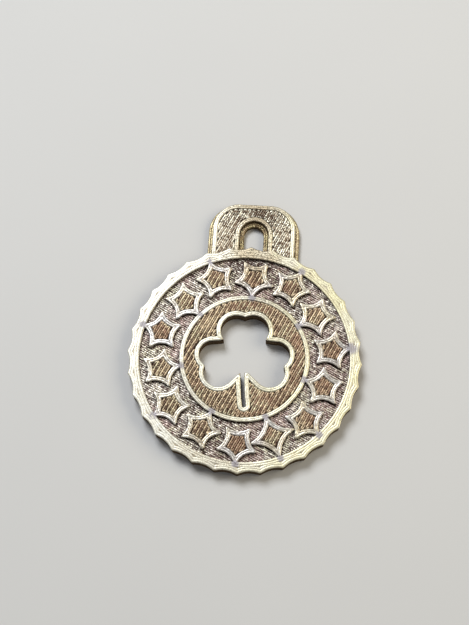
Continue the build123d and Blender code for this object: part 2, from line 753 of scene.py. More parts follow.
@dataclass(frozen=True)
class LayeredSide(Finish):
    """The same plastic down a wall, where each printed layer shows as a ridge."""

    # The wall's dark colours are painted shade, for walls that face away from the lights
    light: Colour
    dark: Colour
    roughness: float = 0.5
    metallic: float = 0.2
    shine: float = 0.25

    def _paint(self, graph: ShaderGraph) -> bpy.types.Material:
        """Builds the finish.

        Args:
            graph: The material's empty graph.

        Returns:
            A material with painted shade in the grooves between layers, tone that changes from layer
            to layer and streaks that run along the wall.
        """
        height = graph.axis(graph.place, "Z") / (LAYER * MM)
        # Grooves between layers: a dent in the bump and painted shade in the colour
        groove_relief_and_shade = (height * math.pi).apply("SINE").apply("ABSOLUTE").between(0.0, 0.55)
        steps = graph.combined(Z=height.apply("FLOOR"))
        per_layer = graph.signal("ShaderNodeTexWhiteNoise", None, {"Vector": steps})
        streak = graph.noise(0.9, 2.0, (1, 1, 0.12))
        fine = graph.noise(0.25, 2.0)
        level = groove_relief_and_shade * 0.5 + per_layer * 0.2 + (streak - 0.3) * 0.6 + (fine - 0.5) * 0.5
        colour = graph.mix(level.between(0.05, 0.95), self.dark, self.light)
        rough = self.roughness + (streak - 0.5) * 0.2 + (1 - groove_relief_and_shade) * 0.15
        return graph.principled(
            {
                "Base Color": colour,
                "Roughness": rough,
                "Metallic": self.metallic,
                "Specular IOR Level": self.shine,
                "Normal": graph.bump(groove_relief_and_shade * 0.7 + fine * 0.3, 0.03, 0.5),
            }
        )


# One silk gold plastic throughout; the pale star border finish is a painted sheen, as its flat-topped
# lines mirror the lights
STAR_GOLD_PAINTED_SHEEN = SilkLine(
    "star_gold_painted_sheen", light=(0.88, 0.86, 0.76), dark=(0.36, 0.28, 0.18), patch=(0.60, 0.59, 0.63),
    painted_warm_east=(0.88, 0.82, 0.62), patch_share=0.5, second_patch=(0.46, 0.36, 0.24), second_share=0.4,
    grain=0.9, shaded_pinholes=0.5, metallic=0.6,
)
# The pale border finish is the same plastic with a painted sheen
BORDER_GOLD_PAINTED_SHEEN = SilkLine(
    "border_gold_painted_sheen", light=(0.86, 0.86, 0.76), dark=(0.44, 0.36, 0.24), patch=(0.80, 0.79, 0.72),
    painted_warm_east=(0.86, 0.82, 0.52), patch_share=0.3, second_patch=(0.60, 0.50, 0.36), second_share=0.25,
    grain=0.5, shaded_pinholes=0.9, metallic=0.6, roughness=0.4, relief=0.04,
)
# The dark hatch finish is the same plastic with painted shade, as its narrow lines mirror darker
# surroundings
HATCH_GOLD_PAINTED_SHADE = SilkLine(
    "hatch_gold_painted_shade", light=(0.47, 0.37, 0.24), dark=(0.08, 0.043, 0.026),
    patch=(0.22, 0.125, 0.08), patch_share=0.6, second_patch=(0.48, 0.44, 0.29), second_share=0.6,
    grain=1.4, glint_dashes=0.5, dash_angle=64.0, dash_length=1.3, shaded_pinholes=0.5, metallic=0.7, relief=0.06,
)
FLOOR_GOLD = SilkLine(
    "floor_gold_line", light=(1.0, 0.93, 0.80), dark=(0.12, 0.07, 0.06), patch=(0.56, 0.38, 0.35),
    patch_share=0.5, second_patch=(0.78, 0.74, 0.52), second_share=0.7, grain=1.4, glint_dashes=0.9,
    dash_angle=-26.0, dash_length=0.5, dash_width=0.36, shaded_pinholes=0.8, relief=0.09,
)
LEDGE_GOLD = SilkLine(
    "ledge_gold_line", light=(0.66, 0.58, 0.30), dark=(0.14, 0.09, 0.035), patch=(0.40, 0.30, 0.20),
    grain=1.6, shaded_pinholes=0.9, relief=0.06,
)
# The tab's hatch is a lighter copy of the hatch finish: painted light
TAB_GOLD_PAINTED_LIGHT = SilkLine(
    "tab_gold_painted_light", light=(0.76, 0.73, 0.60), dark=(0.085, 0.055, 0.035),
    patch=(0.22, 0.145, 0.09), patch_share=0.45, grain=2.2, glint_dashes=0.5, dash_angle=64.0,
    dash_length=0.9, shaded_pinholes=0.6, metallic=0.7, relief=0.05,
)
BACK_GOLD = SilkLine(
    "back_gold_line", light=(0.62, 0.50, 0.26), dark=(0.36, 0.26, 0.11), patch=(0.56, 0.46, 0.28),
    grain=0.35, shaded_pinholes=0.2, roughness=0.26,
)
# Walls painted dark brown: painted shade, as the walls face away from the lights
WALL_GOLD_PAINTED_SHADE = LayeredSide(
    "wall_gold_painted_shade", light=(0.17, 0.11, 0.05), dark=(0.03, 0.014, 0.008), roughness=0.6,
    metallic=0.0, shine=0.15,
)
# Near-black plates and walls: painted shade, for walls and the gaps between laid lines
GAP_GOLD_PAINTED_SHADE = LayeredSide(
    "gap_gold_painted_shade", light=(0.05, 0.025, 0.016), dark=(0.010, 0.005, 0.004), roughness=0.75,
    metallic=0.0, shine=0.08,
)


class Slot(Enum):
    """Material slots; each piece keeps one."""

    OUTLINE = "outline_gold"
    HATCH = "hatch_gold"
    BASE = "base_gold"


# Printer


@dataclass(frozen=True)
class Bead:
    """The cross-section of a laid line and how evenly it is laid, in mm."""

    width: float = 0.5
    height: float = 0.3
    step: float = 0.22
    wobble: float = 0.03
    uneven: float = 0.16
    sides: int = 10


BORDER_BEAD = Bead(width=0.62, height=0.26, step=0.2, wobble=0.05, uneven=0.28)
STAR_BEAD = Bead(width=0.64, height=0.26, step=0.18, wobble=0.09, uneven=0.35)
FILL_BEAD = Bead(width=0.48, height=0.26, step=0.15, wobble=0.05, uneven=0.4, sides=8)
RIM_BEAD = Bead(width=0.76, height=0.18, wobble=0.05, uneven=0.15)
HATCH_BEAD = Bead(width=0.47, height=0.3, step=0.22, wobble=0.07, uneven=0.5, sides=8)
FLOOR_BEAD = Bead(width=0.46, height=0.32, step=0.2, wobble=0.15, uneven=1.0, sides=8)
BACK_BEAD = Bead(width=0.5, height=0.1, step=0.7, wobble=0.02, uneven=0.06, sides=6)


class Printer:
    """Lays lines and slabs with two Geometry Nodes trees."""

    def __init__(self, centre: Vector) -> None:
        """Builds the trees.

        Args:
            centre: The disc's centre in the frame, in metres.
        """
        self.centre = centre
        self.line_tree = self._build_line_tree()
        self.slab_tree = self._build_slab_tree()
        self.seams: list[tuple[complex, float]] = []
        self.painted_shading: list[PaintedShading] = []

    @staticmethod
    def _new_tree(name: str, inputs: dict[str, str]) -> tuple[Graph, dict[str, Signal]]:
        """An empty geometry tree with named inputs.

        Args:
            name: The tree's name.
            inputs: Name and kind of each input after the geometry.

        Returns:
            The tree's graph, and its inputs by name.
        """
        tree = bpy.data.node_groups.new(name, "GeometryNodeTree")
        face = tree.interface
        face.new_socket("Geometry", in_out="OUTPUT", socket_type="NodeSocketGeometry")
        for label, kind in {"Geometry": "Geometry", **inputs}.items():
            face.new_socket(label, in_out="INPUT", socket_type=f"NodeSocket{kind}")
        graph = Graph(tree)
        given = graph.node("NodeGroupInput")
        return graph, {o.name: Signal(graph, o) for o in given.outputs if o.name}

    def _build_line_tree(self) -> bpy.types.NodeTree:
        """A tree that turns edge chains into rounded printed lines.

        Returns:
            The tree. Its Scale field thins and swells the line, and tapers its open ends.
        """
        numbers = ("Width", "Height", "Step", "Wobble", "Uneven", "Seed")
        inputs = {**dict.fromkeys(numbers, "Float"), "Sides": "Int", "Material": "Material"}
        graph, given = self._new_tree("printed_line", inputs)
        noise_kind = {"noise_dimensions": "4D"}
        curve = graph.signal("GeometryNodeMeshToCurve", None, {0: given["Geometry"]})
        sockets = {"Curve": curve, "Length": given["Step"]}
        curve = graph.signal("GeometryNodeResampleCurve", {"mode": "LENGTH"}, sockets)
        place = graph.signal("GeometryNodeInputPosition")
        noise = {"Vector": place, "W": given["Seed"], "Scale": SWAY_SCALE, "Detail": 2.0}
        sway = graph.signal("ShaderNodeTexNoise", noise_kind, noise, "Color")
        sway = graph.vector("SUBTRACT", {0: sway, 1: (0.5, 0.5, 0.5)})
        sway = graph.vector("MULTIPLY", {0: sway, 1: SWAY_SHARES})
        sway = graph.vector("SCALE", {0: sway, "Scale": given["Wobble"]})
        curve = graph.signal("GeometryNodeSetPosition", None, {0: curve, "Offset": sway})
        curve = graph.signal("GeometryNodeSetCurveNormal", {"mode": "Z_UP"}, {0: curve})
        other_seed = given["Seed"] + SEED_SHIFT
        noise = {"Vector": place, "W": other_seed, "Scale": SWELL_SCALE, "Detail": 1.0}
        swell = graph.signal("ShaderNodeTexNoise", noise_kind, noise)
        scale = 1 + (swell - 0.5) * given["Uneven"] * 2
        ends = graph.signal("GeometryNodeCurveEndpointSelection")
        loops = graph.signal("GeometryNodeInputSplineCyclic")
        scale = scale * (1 - ends * (1 - loops) * END_TAPER)
        ring = {"Resolution": given["Sides"], "Radius": 0.5}
        ring = graph.signal("GeometryNodeCurvePrimitiveCircle", {"mode": "RADIUS"}, ring)
        size = graph.signal(
            "ShaderNodeCombineXYZ", None, {"X": given["Width"], "Y": given["Height"], "Z": 1.0}
        )
        ring = graph.signal("GeometryNodeTransform", None, {0: ring, "Scale": size})
        swept = {"Curve": curve, "Profile Curve": ring, "Scale": scale, "Fill Caps": True}
        mesh = graph.signal("GeometryNodeCurveToMesh", None, swept)
        mesh = graph.signal("GeometryNodeSetShadeSmooth", None, {0: mesh, "Shade Smooth": True})
        self._end_tree(graph, mesh, given["Material"])
        return graph.tree

    def _build_slab_tree(self) -> bpy.types.NodeTree:
        """A tree that turns closed edge loops into a slab with a ridge round each layer.

        Returns:
            The tree. A hole's loop runs the other way round, so its ridges also face out.
        """
        inputs = {**dict.fromkeys(("Bottom", "Top", "Ridge"), "Float"), "Layers": "Int"}
        inputs.update(dict.fromkeys(("Top Material", "Side Material"), "Material"))
        graph, given = self._new_tree("printed_slab", inputs)

        def lifted(shape: Signal, height: Signal) -> Signal:
            """A shape moved up by a height."""
            moved = {0: shape, "Translation": graph.combined(Z=height)}
            return graph.signal("GeometryNodeTransform", None, moved)

        def dressed(shape: Signal, smooth: bool, material: Signal) -> Signal:
            """A shape shaded smooth or flat, with a material."""
            sockets = {0: shape, "Shade Smooth": smooth}
            shape = graph.signal("GeometryNodeSetShadeSmooth", None, sockets)
            sockets = {0: shape, "Material": material}
            return graph.signal("GeometryNodeSetMaterial", None, sockets)

        def joined(shapes: Sequence[Signal]) -> Signal:
            """The shapes as one."""
            join = graph.node("GeometryNodeJoinGeometry")
            for shape in shapes:
                graph.tree.links.new(shape.socket, join.inputs[0])
            return Signal(graph, join.outputs[0])

        curve = graph.signal("GeometryNodeMeshToCurve", None, {0: given["Geometry"]})
        curve = graph.signal("GeometryNodeSetCurveNormal", {"mode": "Z_UP"}, {0: curve})
        plate = graph.signal("GeometryNodeFillCurve", {"mode": "TRIANGLES"}, {0: curve})
        drop = graph.combined(Y=(given["Top"] - given["Bottom"]) * -1)
        line = graph.signal("GeometryNodeCurvePrimitiveLine", None, {"Start": (0, 0, 0), "End": drop})
        count = {"Curve": line, "Count": given["Layers"] * RIDGE_POINTS + 1}
        line = graph.signal("GeometryNodeResampleCurve", {"mode": "COUNT"}, count)
        number = graph.signal("GeometryNodeInputIndex")
        on_groove = (number / RIDGE_POINTS).apply("FRACT").apply("LESS_THAN", 0.1)
        bulge = graph.combined(X=(1 - on_groove) * given["Ridge"])
        line = graph.signal("GeometryNodeSetPosition", None, {0: line, "Offset": bulge})
        wall = graph.signal("GeometryNodeCurveToMesh", None, {"Curve": curve, "Profile Curve": line})
        wall = dressed(lifted(wall, given["Bottom"]), True, given["Side Material"])
        caps = joined([lifted(plate, given["Top"]), lifted(plate, given["Bottom"])])
        caps = dressed(caps, False, given["Top Material"])
        merge = {0: joined([caps, wall]), "Distance": 0.002 * MM}
        mesh = graph.signal("GeometryNodeMergeByDistance", None, merge)
        self._end_tree(graph, mesh)
        return graph.tree

    @staticmethod
    def _end_tree(graph: Graph, mesh: Signal, material: Signal | None = None) -> None:
        """Ends a tree in Realize Instances and, where one material covers it, Set Material.

        Args:
            graph: The tree's graph.
            mesh: What the tree has made.
            material: What it is made of, unless it is dressed already.
        """
        mesh = graph.signal("GeometryNodeRealizeInstances", None, {0: mesh})
        if material:
            dressed = {0: mesh, "Material": material}
            mesh = graph.signal("GeometryNodeSetMaterial", None, dressed)
        graph.node("NodeGroupOutput", None, {0: mesh})

    def _grown_mesh(
        self, seed_mesh: bpy.types.Mesh, tree: bpy.types.NodeTree, values: dict
    ) -> bpy.types.Mesh:
        """Runs one tree on a mesh.

        Args:
            seed_mesh: The mesh that the tree starts from; it is used up.
            tree: The Geometry Nodes tree.
            values: The tree's inputs by name.

        Returns:
            The finished plain mesh.
        """
        holder = bpy.data.objects.new("seed", seed_mesh)
        bpy.context.scene.collection.objects.link(holder)
        modifier = holder.modifiers.new("print", "NODES")
        modifier.node_group = tree
        for item in tree.interface.items_tree:
            if item.in_out == "INPUT" and item.name in values:
                modifier[item.identifier] = values[item.name]
        graph = bpy.context.evaluated_depsgraph_get()
        mesh = bpy.data.meshes.new_from_object(holder.evaluated_get(graph))
        bpy.data.objects.remove(holder)
        bpy.data.meshes.remove(seed_mesh)
        return mesh

    def _wires(self, lines: Sequence[tuple[np.ndarray, bool]], height: float) -> bpy.types.Mesh:
        """A mesh of bare edges along lines.

        Args:
            lines: Each line's points, and whether it closes.
            height: How high they lie, in mm.

        Returns:
            The mesh, in the frame's metres.
        """
        places, edges = chained(lines)
        x, y, z = self.centre.x, self.centre.y, height * MM
        mesh = bpy.data.meshes.new("wires")
        mesh.from_pydata([(x + p.real * MM, y + p.imag * MM, z) for p in places], edges, [])
        return mesh

    def lines(
        self,
        strokes: Sequence[Stroke],
        top: float,
        bead: Bead,
        finish: SilkLine,
        seed: float = 1.0,
        marked: bool = True,
    ) -> bpy.types.Mesh:
        """Lays strokes as printed lines.

        Args:
            strokes: The lines' paths.
            top: Height of the lines' tops, in mm.
            bead: Their cross-section.
            finish: What they are made of.
            seed: Fixes how they wander.
            marked: Whether the printer's seams and the painted light and shade patches show on them.

        Returns:
            The lines as a mesh with tone and seam attributes.
        """
        mesh = self._wires([(s.points, s.closed) for s in strokes], top - bead.height / 2)
        tones = np.concatenate([s.tones for s in strokes])
        places = np.concatenate([s.points for s in strokes])
        seams = np.concatenate([np.full(len(s.points), s.seam) for s in strokes])
        for spot, radius in self.seams if marked else ():
            seams = np.maximum(seams, np.exp(-((abs(places - spot) / radius) ** 2)))
        # Patches of painted light and shade lift or lower the tone of the lines under them
        for shading in self.painted_shading if marked else ():
            away = abs(places - shading.place) / shading.radius
            tones = tones + shading.lift * np.exp(-(away**2))
        for name, numbers in (("tone", tones), ("seam", seams)):
            layer = mesh.attributes.new(name, "FLOAT", "POINT")
            layer.data.foreach_set("value", numbers.astype(np.float32))
        values = {
            "Width": bead.width * MM,
            "Height": bead.height * MM,
            "Step": bead.step * MM,
            "Wobble": bead.wobble * MM,
            "Uneven": bead.uneven,
            "Sides": bead.sides,
            "Seed": float(seed),
            "Material": finish.material(),
        }
        return self._grown_mesh(mesh, self.line_tree, values)

    def back_lines(self, strokes: Sequence[Stroke], bottom: float, seed: float) -> bpy.types.Mesh:
        """Lays smooth unmarked lines on the back, down to that level."""
        return self.lines(strokes, bottom + BACK_BEAD.height, BACK_BEAD, BACK_GOLD, seed, False)

    def slab(
        self,
        loops: Sequence[Loop],
        holes: Sequence[Loop],
        levels: tuple[float, float],
        top_finish: Finish,
        side_finish: Finish,
        ridge: float = 0.05,
    ) -> bpy.types.Mesh:
        """Builds a plate with layered walls.

        Args:
            loops: Outlines of the plate, anticlockwise.
            holes: Outlines of its openings, anticlockwise.
            levels: Its bottom and top, in mm.
            top_finish: Finish of its flat faces.
            side_finish: Finish of its walls.
            ridge: How far each layer bulges, in mm; the outlines are drawn in by as much.

        Returns:
            The plate as a closed mesh.
        """
        drawn = [grown(loop, -ridge) for loop in loops]
        drawn += [grown(loop, ridge)[::-1] for loop in holes]
        mesh = self._wires([(loop, True) for loop in drawn], 0.0)
        bottom, top = levels
        values = {
            "Bottom": bottom * MM,
            "Top": top * MM,
            "Layers": max(1, round((top - bottom) / LAYER)),
            "Ridge": ridge * MM,
            "Top Material": top_finish.material(),
            "Side Material": side_finish.material(),
        }
        return self._grown_mesh(mesh, self.slab_tree, values)


@dataclass
class Piece:
    """One piece of the ornament while it is put together, and the frame node it stands for."""

    name: str
    slot: Slot
    parts: list[bpy.types.Mesh]
    node: str = ""

    def build(self) -> None:
        """Joins the parts into one object that rides on the body, and hides the frame node it stands
        for.
        """
        shape = bmesh.new()
        finishes: list[bpy.types.Material] = []
        for part in self.parts:
            first = len(shape.faces)
            shape.from_mesh(part)
            shape.faces.ensure_lookup_table()
            finishes += [m for m in part.materials if m and m not in finishes]
            index = [finishes.index(m) if m else 0 for m in part.materials]
            for face in shape.faces[first:]:
                face.material_index = index[face.material_index]
            bpy.data.meshes.remove(part)
        bmesh.ops.recalc_face_normals(shape, faces=shape.faces)
        mesh = bpy.data.meshes.new(self.name)
        shape.to_mesh(mesh)
        shape.free()
        for finish in finishes:
            mesh.materials.append(finish)
        made = bpy.data.objects.new(self.name, mesh)
        bpy.context.scene.collection.objects.link(made)
        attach(made, BODY)
        if self.node:
            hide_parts(self.node)
        log.info("%s: %d triangles", self.name, sum(len(p.vertices) - 2 for p in mesh.polygons))


def levels_of(node: str) -> tuple[float, float]:
    """Lowest and highest level of a frame node, in mm."""
    low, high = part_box(node)
    return low.z / MM, high.z / MM


@dataclass(frozen=True)
class Relief:
    """How a raised piece is made: a plate that ends below its node's top, and lines up to it."""

    slot: Slot
    plate: Finish
    wall: Finish
    bead: Bead
    line: Finish
    drop: float = 0.08
    ridge: float = 0.05

    def build(
        self,
        printer: Printer,
        node: str,
        field_loops: tuple[Sequence[Loop], Sequence[Loop]],
        strokes: Sequence[Stroke],
        seed: float,
        fillers: Sequence[Stroke] = (),
    ) -> None:
        """Builds the piece for one frame node.

        Args:
            printer: What lays the lines.
            node: The node that the piece stands for.
            field_loops: The plate's outlines and its openings.
            strokes: The lines on it.
            seed: Fixes how the lines wander.
            fillers: Thin lines that fill what the others leave.
        """
        low, top = levels_of(node)
        outlines, openings = field_loops
        levels = (low - PLATE_LAP, top - self.drop)
        parts = [printer.slab(outlines, openings, levels, self.plate, self.wall, self.ridge)]
        parts.append(printer.lines(strokes, top, self.bead, self.line, seed))
        if fillers:
            parts.append(printer.lines(fillers, top, FILL_BEAD, self.line, seed))
        Piece(f"{node}_lines", self.slot, parts, node).build()


STAR_BORDER = Relief(Slot.OUTLINE, STAR_GOLD_PAINTED_SHEEN, GAP_GOLD_PAINTED_SHADE, STAR_BEAD, STAR_GOLD_PAINTED_SHEEN)
DISC_BORDER = Relief(Slot.OUTLINE, BORDER_GOLD_PAINTED_SHEEN, GAP_GOLD_PAINTED_SHADE, BORDER_BEAD, BORDER_GOLD_PAINTED_SHEEN)
TAB_BORDER = Relief(Slot.OUTLINE, BORDER_GOLD_PAINTED_SHEEN, WALL_GOLD_PAINTED_SHADE, BORDER_BEAD, BORDER_GOLD_PAINTED_SHEEN)
EDGE_RIM = Relief(Slot.OUTLINE, BORDER_GOLD_PAINTED_SHEEN, WALL_GOLD_PAINTED_SHADE, RIM_BEAD, BORDER_GOLD_PAINTED_SHEEN, drop=0.03)
CORE = Relief(Slot.HATCH, GAP_GOLD_PAINTED_SHADE, GAP_GOLD_PAINTED_SHADE, HATCH_BEAD, HATCH_GOLD_PAINTED_SHADE, drop=0.15, ridge=0.02)
TAB_CORE = Relief(Slot.HATCH, GAP_GOLD_PAINTED_SHADE, GAP_GOLD_PAINTED_SHADE, HATCH_BEAD, TAB_GOLD_PAINTED_LIGHT, drop=0.15, ridge=0.02)


# Sub-assemblies


@dataclass
class Shamrock:
    """The shamrock that is cut through the disc: its right half's corners and bulges, in mm."""

    turn: float = 2.6
    top_notch: complex = 9.0j
    top_bulge: complex = 4.22 + 8.52j
    fork: complex = 4.45 + 4.0j
    side_start: complex = 6.65 + 3.74j
    side_bulge: complex = 9.55 + 1.9j
    side_notch: complex = 8.4 - 1.7j
    lobe_bulge: complex = 7.68 - 5.58j
    lobe_end: complex = 3.2 - 5.6j
    shoulder: complex = 0.85 - 3.25j
    stem_top: complex = -0.35 - 2.8j
    stem_middle: complex = -0.27 - 7.0j
    stem_foot: complex = 0.05 - 10.4j
    stem_width: float = 0.85

    def leaves(self) -> Loop:
        """The three leaves as one loop about the disc's centre."""
        right = [
            (self.top_notch, self.top_bulge, self.fork),
            (self.fork, self.side_start),
            (self.side_start, self.side_bulge, self.side_notch),
            (self.side_notch, self.lobe_bulge, self.lobe_end),
            (self.lobe_end, self.shoulder),
        ]
        left = [tuple(-p.conjugate() for p in reversed(side)) for side in reversed(right)]
        bottom = (self.shoulder, -self.shoulder.conjugate())
        return Outline((*right, bottom, *left)).placed(-self.turn).loop(0.1)

    def stem(self, spread: float) -> Loop:
        """The stem's slot with round ends, widened by spread on every side.

        Args:
            spread: How much wider it is on every side, in mm.

        Returns:
            The loop.
        """
        line = side_points((self.stem_top, self.stem_middle, self.stem_foot), 0.2)
        line = np.array([*line, self.stem_foot])
        ahead = np.gradient(line)
        half = self.stem_width / 2 + spread
        across = 1j * ahead / abs(ahead) * half
        bend = np.exp(1j * np.linspace(0, math.pi, 9)[1:-1])
        foot = line[-1] + across[-1] / bend
        top = line[0] - across[0] / bend
        loop = np.concatenate([line + across, foot, (line - across)[::-1], top])
        return Outline(tuple(zip(loop, np.roll(loop, -1)))).placed(-self.turn).loop(0.1)

    def edge(self, spread: float = 0.0) -> Loop:
        """The whole opening's loop, widened by spread."""
        leaves = grown(self.leaves(), spread) if spread else self.leaves()
        return joined_loop(leaves, self.stem(spread))


@dataclass
class StarRing:
    """Thirteen five-point stars and one four-point star between the medallion and the rim.

    Lines stay between the two reaches. A smear lies where a tip runs into the rim or the medallion;
    the star whose number is long_smear has the widest. The border cuts give, for each of a border's
    two lines, how far its tips and notches are drawn in and how light it is.
    """

    count: int = 13
    pitch: float = 26.0
    gap_bearing: float = 157.3
    tip_radius: float = 4.5
    notch_radius: float = 2.8
    outward_centre: float = 18.75
    inward_centre: float = 17.9
    four_centre: float = 18.0
    four_tip_radius: float = 4.95
    four_notch_radius: float = 2.6
    border: float = 0.9
    inner_reach: float = 13.6
    outer_reach: float = 23.5
    rim_smear: float = 23.0
    inner_smear: float = 13.6
    long_smear: int = 11
    short_smear: float = 0.8
    wide_smear: float = 1.25
    four_smear: float = 0.7
    plate_reach: float = 0.3
    core_margin: float = 0.25
    border_cuts: tuple[tuple[float, float, float], ...] = ((0.33, 0.3, 0.6), (1.55, 0.7, 0.5))
    filler_cuts: tuple[float, ...] = (0.75, 1.2, 1.65)
    hatch: Hatch = Hatch(64.0)

    def bearing(self, number: int) -> float:
        """Bearing of one star; number 0 is the four-point star.

        Args:
            number: Which star.

        Returns:
            The bearing, in degrees.
        """
        if number == 0:
            return self.gap_bearing
        return self.gap_bearing + 180 + (number - (self.count + 1) / 2) * self.pitch

    def place(self, number: int) -> tuple[float, complex]:
        """Which way one star's first tip points, and where its centre is.

        Args:
            number: Which star.

        Returns:
            The bearing of the tip, and the centre.
        """
        bearing = self.bearing(number)
        if number == 0:
            return bearing, polar(self.four_centre, bearing)
        if number % 2:
            return bearing, polar(self.outward_centre, bearing)
        return bearing + 180, polar(self.inward_centre, bearing)

    def outline(self, number: int, tip_cut: float = 0.0, notch_cut: float = 0.0) -> Loop:
        """One star's loop in its place.

        Args:
            number: Which star.
            tip_cut: How far its tips are drawn in, in mm.
            notch_cut: How far its notches are drawn in, in mm.

        Returns:
            The loop.
        """
        points, tip, notch = 5, self.tip_radius, self.notch_radius
        if number == 0:
            points, tip, notch = 4, self.four_tip_radius, self.four_notch_radius
        star = arc_star(points, tip - tip_cut, notch - notch_cut)
        return star.placed(*self.place(number)).loop(0.12)

    def tip_fillers(self, number: int) -> list[Stroke]:
        """The short greyish lines that fill each tip between the border's outer line's sides.

        Args:
            number: Which star.

        Returns:
            One line for each tip that is clear of the rim and the medallion.
        """
        points, tip = (4, self.four_tip_radius) if number == 0 else (5, self.tip_radius)
        turn, centre = self.place(number)
        strokes = []
        for k in range(points):
            along = polar(1.0, turn + k * 360 / points)
            ends = np.array([centre + along * (tip - cut) for cut in self.filler_cuts])
            if (abs(ends) > self.inner_reach).all() and (abs(ends) < self.outer_reach).all():
                strokes.append(Stroke(ends, np.full(len(ends), 0.45), seam=0.35))
        return strokes

    def contacts(self) -> list[tuple[complex, float]]:
        """Where the stars' tips run into the rim or the medallion, and how far each smears."""
        both = (self.rim_smear, self.inner_smear)
        found = [(polar(reach, self.bearing(0)), self.four_smear) for reach in both]
        for number in range(1, self.count + 1):
            reach = self.rim_smear if number % 2 else self.inner_smear
            smear = self.wide_smear if number == self.long_smear else self.short_smear
            found.append((polar(reach, self.bearing(number)), smear))
        return found

    def build(self, printer: Printer) -> None:
        """Builds a border piece and a core piece for every star.

        Args:
            printer: What lays the lines.
        """
        for number in range(self.count + 1):
            name = f"star_{number:02d}" if number else "four_point_star"
            outline = self.outline(number)
            inner = grown(outline, -self.border)
            reach = self.plate_reach
            outer = pressed(outline, self.inner_reach - reach, self.outer_reach + reach)
            strokes = []
            for tip_cut, notch_cut, tone in self.border_cuts:
                loop = self.outline(number, tip_cut, notch_cut)
                kept = (abs(loop) > self.inner_reach) & (abs(loop) < self.outer_reach)
                strokes += open_strokes(loop, kept, tone)
            fillers = self.tip_fillers(number)
            STAR_BORDER.build(printer, f"{name}_border", ([outer], [inner]), strokes, number, fillers)
            strokes = self.hatch.strokes([grown(inner, -self.core_margin)])
            CORE.build(printer, f"{name}_core", ([inner], []), strokes, number + CORE_SEEDS)


@dataclass
class Disc:
    """The scalloped base disc, its rim and the medallion with the shamrock in it."""

    cusp_radius: float = 25.0
    scallops: int = 32
    valley_radius: float = 24.35
    rim_inner_radius: float = 22.6
    medallion_radius: float = 13.9
    border: float = 0.9
    ring_insets: tuple[float, ...] = (0.25, 0.74)
    edge_insets: tuple[float, ...] = (0.27, 0.72)
    floor_hatch: Hatch = Hatch(-26.0, light=0.66, dark=0.48, turn_tone=0.45)
    core_hatch: Hatch = Hatch(64.0)
    back_hatch: Hatch = Hatch(45.0, light=0.6, dark=0.45, turn_tone=0.5)

    def outline(self) -> Loop:
        """The scalloped outer loop."""
        return arc_star(self.scallops, self.cusp_radius, self.valley_radius).loop(0.2)

    def build(self, printer: Printer, shamrock: Shamrock, stars: StarRing) -> None:
        """Builds the disc's own pieces.

        Args:
            printer: What lays the lines.
            shamrock: The opening in the middle.
            stars: The stars that stand on the floor.
        """
        self._build_base(printer, shamrock, stars)
        self._build_rim(printer)
        self._build_medallion(printer, shamrock)

    def _build_base(self, printer: Printer, shamrock: Shamrock, stars: StarRing) -> None:
        """The base: its layered body, its floor and its back.

        Args:
            printer: What lays the lines.
            shamrock: The opening in the middle.
            stars: The stars that stand on the floor.
        """
        outline, opening = self.outline(), shamrock.edge()
        bottom, top = levels_of("base_disc")
        levels = (bottom + BODY_LIFT, top - PLATE_LAP)
        body = printer.slab([outline], [opening], levels, GAP_GOLD_PAINTED_SHADE, WALL_GOLD_PAINTED_SHADE)
        Piece("base_disc_body", Slot.BASE, [body], "base_disc").build()
        holes = [circle(self.medallion_radius + FLOOR_MARGIN)]
        holes += [grown(stars.outline(n), FLOOR_MARGIN) for n in range(stars.count + 1)]
        fields = [circle(self.rim_inner_radius + FLOOR_MARGIN)]
        strokes = self.floor_hatch.strokes(fields, holes)
        lines = printer.lines(strokes, top, FLOOR_BEAD, FLOOR_GOLD, 42)
        Piece("base_disc_floor", Slot.BASE, [lines]).build()
        loops = [grown(outline, -d) for d in BACK_INSETS] + [shamrock.edge(d) for d in BACK_INSETS]
        strokes = [closed_stroke(loop) for loop in loops]
        fields, holes = [grown(outline, -BACK_MARGIN)], [shamrock.edge(BACK_MARGIN)]
        strokes += self.back_hatch.strokes(fields, holes)
        Piece("base_disc_back", Slot.BASE, [printer.back_lines(strokes, bottom, 43)]).build()

    def _build_rim(self, printer: Printer) -> None:
        """The raised rim: rings along its inner side and lines that follow its scalloped edge.

        Args:
            printer: What lays the lines.
        """
        outline, inner = self.outline(), circle(self.rim_inner_radius)
        strokes = [closed_stroke(circle(self.rim_inner_radius + d), 0.55) for d in self.ring_insets]
        strokes += [closed_stroke(grown(outline, -d), 0.6) for d in self.edge_insets]
        EDGE_RIM.build(printer, "edge_rim", ([outline], [inner]), strokes, seed=44)

    def _build_medallion(self, printer: Printer, shamrock: Shamrock) -> None:
        """The medallion's border and core, and the border round the shamrock.

        Args:
            printer: What lays the lines.
            shamrock: The opening in the middle.
        """
        radius = self.medallion_radius
        outer, inner = circle(radius), circle(radius - self.border)
        strokes = [closed_stroke(circle(radius - d), 0.55) for d in BORDER_INSETS]
        DISC_BORDER.build(printer, "medallion_border", ([outer], [inner]), strokes, seed=45)
        opening, band = shamrock.edge(), shamrock.edge(self.border)
        strokes = [closed_stroke(shamrock.edge(d), 0.6) for d in BORDER_INSETS]
        DISC_BORDER.build(printer, "shamrock_border", ([band], [opening]), strokes, seed=46)
        holes = [shamrock.edge(self.border + CORE_MARGIN)]
        strokes = self.core_hatch.strokes([grown(inner, -CORE_MARGIN)], holes)
        CORE.build(printer, "medallion_core", ([inner], [band]), strokes, seed=47)


